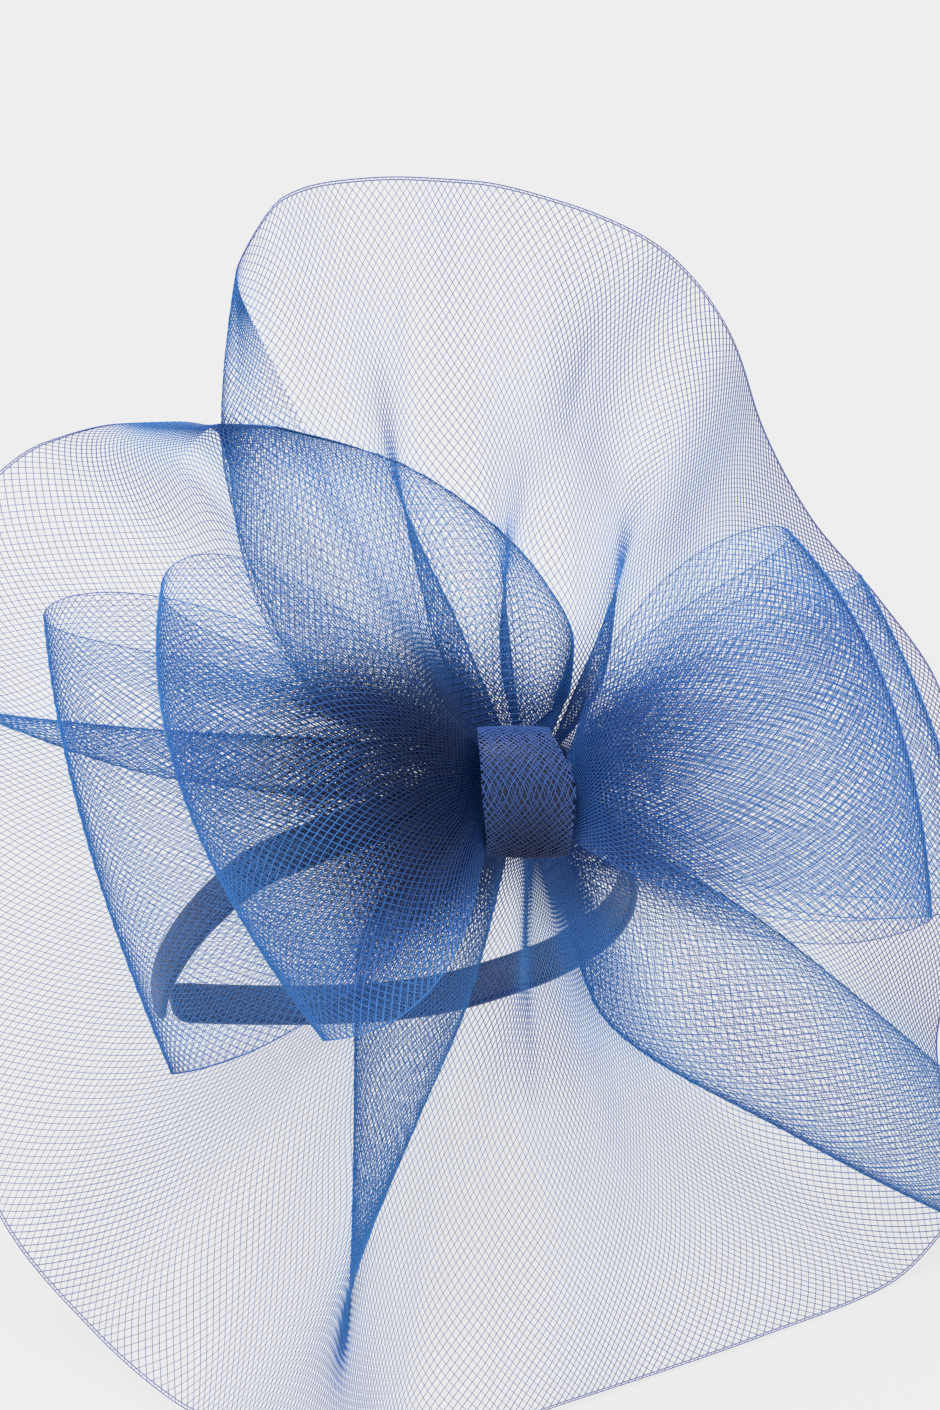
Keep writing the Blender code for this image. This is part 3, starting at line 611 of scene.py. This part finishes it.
# ---------------------------------------------------------------- the bow: each loop is one strip of net, folded back to the waist
LOOP_POINTS = 25
for row in LOOP_ROWS:
    name = row[0]
    t_fine = np.linspace(0, 1, 241)
    round_mm = np.linalg.norm(np.diff(loop_points(row, t_fine, np.full_like(t_fine, 0.5)), axis=0), axis=1).sum()
    across_mm = float(np.linalg.norm(np.array(row[1]) - np.array(row[2])) + np.linalg.norm(np.array(row[2]) - np.array(row[3])))
    pitch, half = BOW_NET[name.split("_")[2]]
    parts = []
    for lean in (1, -1):
        u0, lo, hi = slanted(round_mm, across_mm, pitch, lean, 0.6 if lean < 0 else 0.0)
        w = lo[:, None] + (hi - lo)[:, None] * np.linspace(0, 1, LOOP_POINTS)[None, :]
        t = np.clip((u0[:, None] + lean * across_mm * w) / round_mm, 0, 1)
        f = lambda tt, ww: loop_points(row, tt.ravel(), ww.ravel())
        p = f(t, w)
        dt = f(np.minimum(t + 0.002, 1), w) - f(np.maximum(t - 0.002, 0), w)
        dw = f(t, np.minimum(w + 0.004, 1)) - f(t, np.maximum(w - 0.004, 0))
        n = unit(np.cross(dt, dw))
        p = p + n * lean * THREAD_HALF[1] * 0.6
        p = p.reshape(len(u0), LOOP_POINTS, 3)
        parts.append(tubes(p, n.reshape(len(u0), LOOP_POINTS, 3), half, 3, widening(p)))
    for w_edge in (0.0, 1.0):
        t = np.linspace(0, 1, 90)
        p = loop_points(row, t, np.full_like(t, w_edge))
        q = loop_points(row, t, np.full_like(t, 0.04 if w_edge == 0 else 0.96))
        n = unit(np.cross(np.gradient(p, axis=0), p - q))
        parts.append(tubes(p[None], n[None], EDGE_HALF))
    obj = mesh_object(name + "_threads", *join(parts), BOW, frame_of=saucer_to_world)
    mark_layers(obj, join(parts)[0])
    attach(obj, "root")
    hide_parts(name)

# ---------------------------------------------------------------- headband: satin ribbon over a springy strap
def band_piece():
    rows = np.array(BAND_ROWS, float)
    chord = np.concatenate([[0], np.cumsum(np.linalg.norm(np.diff(rows, axis=0), axis=1))])
    m = np.gradient(rows, chord, axis=0)
    q = np.linspace(0, chord[-1], 260)
    pts = through(chord, rows, q, m)
    line = band_to_world(pts[:, 0], pts[:, 1], pts[:, 2])
    tangent = unit(np.gradient(line, q, axis=0))
    out = unit(np.cross(tangent, SIDEWAYS))
    count = 28
    a = np.linspace(0, 2 * math.pi, count, endpoint=False)
    cs = np.sign(np.cos(a)) * np.abs(np.cos(a)) ** 0.35
    sn = np.sign(np.sin(a)) * np.abs(np.sin(a)) ** 0.6
    total = q[-1]
    points = []
    for p, o, s in zip(line, out, q):
        k = min(1.0, min(s, total - s) / BAND_TIP_ROUND)
        half = (BAND_WIDTH / 2) * (0.55 + 0.45 * math.sqrt(1 - (1 - k) ** 2))
        ripple = 1 + 0.015 * math.sin(s * 1.3) + 0.01 * math.sin(s * 3.1 + 1)
        points.append(p + SIDEWAYS * (half * cs)[:, None] + o * (BAND_THICK / 2 * sn * ripple)[:, None])
    n = len(line)
    points = np.concatenate(points)
    i = np.arange(n - 1)[:, None] * count
    k = np.arange(count)[None, :]
    quads = np.stack([i + k, i + (k + 1) % count, i + count + (k + 1) % count, i + count + k], -1).reshape(-1, 4)
    ends = [points[:count].mean(axis=0), points[-count:].mean(axis=0)]
    points = np.concatenate([points, ends])
    caps = []
    for j in range(0, count, 2):
        caps.append((n * count, (j + 2) % count, (j + 1) % count, j))
        caps.append((n * count + 1, (n - 1) * count + j, (n - 1) * count + (j + 1) % count, (n - 1) * count + (j + 2) % count))
    return points, np.concatenate([quads, np.array(caps)])


band = mesh_object("headband_ribbon", *band_piece(), SATIN)
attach(band, "root")
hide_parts("headband")

# ---------------------------------------------------------------- knot wrap: net folded into many plies
def wrap_surface(turn, across, lift=0.0):
    """Point of the wrap's outer face: turn runs 0 to 1 round the waist, across 0 to 1 from left to right."""
    a = 2 * math.pi * turn
    c, s = np.cos(a), np.sin(a)
    y = np.sign(c) * np.abs(c) ** (2 / WRAP_SQUARE)
    z = np.sign(s) * np.abs(s) ** (2 / WRAP_SQUARE)
    rows = np.array(WRAP_ROWS)[::-1]
    edges = through(rows[:, 0], rows[:, 1:], y)
    x = edges[:, 0] + (edges[:, 1] - edges[:, 0]) * across
    swell = 0.5 * np.sin(math.pi * across)
    return np.stack(
        [
            x,
            (WRAP_HALF_HEIGHT + lift) * y * (1 + swell / 16) + WRAP_MIDDLE[0],
            (WRAP_HALF_DEPTH + lift) * z * (1 + swell / 7) + WRAP_MIDDLE[1],
        ],
        -1,
    )


def wrap_shell():
    nt, na = 120, 14
    grids = []
    for lift in (-0.25, -0.9):
        t, a = np.meshgrid(np.arange(nt) / nt, np.linspace(0, 1, na + 1), indexing="ij")
        grids.append(wrap_surface(t.ravel(), a.ravel(), lift))
    w = na + 1
    quads = []
    for i in range(nt):
        i2 = (i + 1) % nt
        for j in range(na):
            quads.append((i * w + j, i2 * w + j, i2 * w + j + 1, i * w + j + 1))
            o = nt * w
            quads.append((o + i * w + j, o + i * w + j + 1, o + i2 * w + j + 1, o + i2 * w + j))
        o = nt * w
        quads.append((i * w, o + i * w, o + i2 * w, i2 * w))
        quads.append((i * w + na, i2 * w + na, o + i2 * w + na, o + i * w + na))
    return np.concatenate(grids), np.array(quads)


# Threads of the wrap, a row for each family: lift over the shell, spacing round the wrap, slope (distance round for each distance
# across, positive down to the right) and phase.
WRAP_FAMILIES = ((-0.16, 1.9, 0.9, 0.0), (-0.04, 1.7, -1.1, 0.5), (0.08, 1.6, 1.15, 0.9), (0.20, 1.9, -0.75, 0.3))
WRAP_POINTS = 41


def wrap_threads():
    around, across = 84.0, 22.0
    parts = []
    for lift, pitch, slope, phase in WRAP_FAMILIES:
        u0 = np.arange(0, around - pitch / 2, pitch) + phase
        a = np.linspace(0, 1, WRAP_POINTS)[None, :].repeat(len(u0), 0)
        t = (u0[:, None] + slope * across * (a - 0.5)) / around
        f = lambda tt, aa: wrap_surface((tt % 1.0).ravel(), aa.ravel(), lift)
        p = f(t, a)
        dt = f(t + 0.002, a) - f(t - 0.002, a)
        da = f(t, np.minimum(a + 0.01, 1)) - f(t, np.maximum(a - 0.01, 0))
        n = unit(np.cross(dt, da))
        parts.append(tubes(p.reshape(len(u0), WRAP_POINTS, 3), n.reshape(len(u0), WRAP_POINTS, 3), WRAP_HALF, 5))
    return join(parts)


shell = mesh_object("knot_wrap_plies", *wrap_shell(), WRAP_PLIES_SHADE, frame_of=saucer_to_world)
threads = mesh_object("knot_wrap_threads", *wrap_threads(), WRAP_TOP, frame_of=saucer_to_world)
for obj in (shell, threads):
    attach(obj, "root")
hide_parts("knot_wrap")

# The felt base keeps its own colour; the bow's waist gets the near-black painted shade of the wrap's plies.
for node, material in (("stitched_base", FELT), ("bow_waist", WRAP_PLIES_SHADE)):
    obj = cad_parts[node]
    obj.data.materials.clear()
    obj.data.materials.append(material)

# ---------------------------------------------------------------- pale floor and soft light
def floor():
    m, nodes, links, shader = new_material("floor")
    shader.inputs["Base Color"].default_value = (0.10, 0.10, 0.10, 1)
    shader.inputs["Roughness"].default_value = 0.95
    shader.inputs["Specular IOR Level"].default_value = 0.0
    shader.inputs["Emission Color"].default_value = (1.0, 1.0, 1.0, 1)
    shader.inputs["Emission Strength"].default_value = 0.735
    mesh = bpy.data.meshes.new("floor")
    s = 12.0
    mesh.from_pydata([(-s, -s, -0.0003), (s, -s, -0.0003), (s, s, -0.0003), (-s, s, -0.0003)], [], [(0, 1, 2, 3)])
    mesh.materials.append(m)
    obj = bpy.data.objects.new("floor", mesh)
    bpy.context.scene.collection.objects.link(obj)


def area_light(name, at, aim, size, energy, colour=(1, 1, 1)):
    data = bpy.data.lights.new(name, "AREA")
    data.shape = "RECTANGLE"
    data.size, data.size_y = size
    data.energy = energy
    data.color = colour
    obj = bpy.data.objects.new(name, data)
    bpy.context.scene.collection.objects.link(obj)
    z = unit(np.array(at, float) - np.array(aim, float))
    x = unit(np.cross([0, 0, 1.0], z))
    y = np.cross(z, x)
    m = np.eye(4)
    m[:3, 0], m[:3, 1], m[:3, 2], m[:3, 3] = x, y, z, at
    obj.matrix_world = Matrix(m.tolist())
    return obj


floor()
world = bpy.data.worlds.new("studio")
world.use_nodes = True
world.node_tree.nodes["Background"].inputs["Color"].default_value = (1.0, 1.0, 1.0, 1)
world.node_tree.nodes["Background"].inputs["Strength"].default_value = 0.72
bpy.context.scene.world = world
area_light("key", (-0.35, 0.05, 1.7), (0, 0, 0.1), (0.6, 0.6), 15.0, (1.0, 0.99, 0.97))
area_light("fill", (1.3, -0.7, 1.3), (0, 0, 0.1), (1.2, 1.2), 4.0)

bpy.context.scene.cycles.use_denoising = False
view = bpy.context.scene.view_settings
view.view_transform = "Standard"
view.look = "None"
view.exposure = 0.0
view.gamma = 1.0
